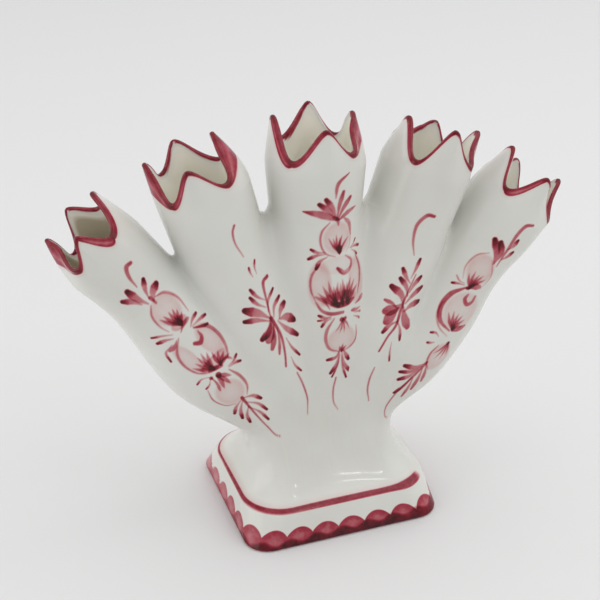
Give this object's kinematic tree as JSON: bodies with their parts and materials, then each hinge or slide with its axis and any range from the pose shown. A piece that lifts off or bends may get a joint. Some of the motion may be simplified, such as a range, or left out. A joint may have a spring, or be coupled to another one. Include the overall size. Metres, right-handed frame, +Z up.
{
  "type": "quintal vase",
  "caption": "Fan-shaped flower vase: crown-rimmed spouts over one water chamber on a coved rectangular foot, white glaze with crimson painted flowers.",
  "frame": {"origin": "on the table, under the middle of the foot", "axes": "+Z up, +X across the fan of spouts to the right seen from the front, -Y out of the front"},
  "size_m": [0.2364, 0.083, 0.185],
  "materials": {
    "white_glaze": "glossy tin-white glaze with crimson painting",
    "bare_clay": "unglazed, matte"
  },
  "bodies": {
    "root": {"foot_plinth": "white_glaze", "body": "white_glaze", "left_outer_spout": "white_glaze", "left_inner_spout": "white_glaze", "centre_spout": "white_glaze", "right_inner_spout": "white_glaze", "right_outer_spout": "white_glaze", "left_outer_web": "white_glaze", "left_inner_web": "white_glaze", "right_inner_web": "white_glaze", "right_outer_web": "white_glaze", "foot_floor": "bare_clay"}
  },
  "joints": []
}
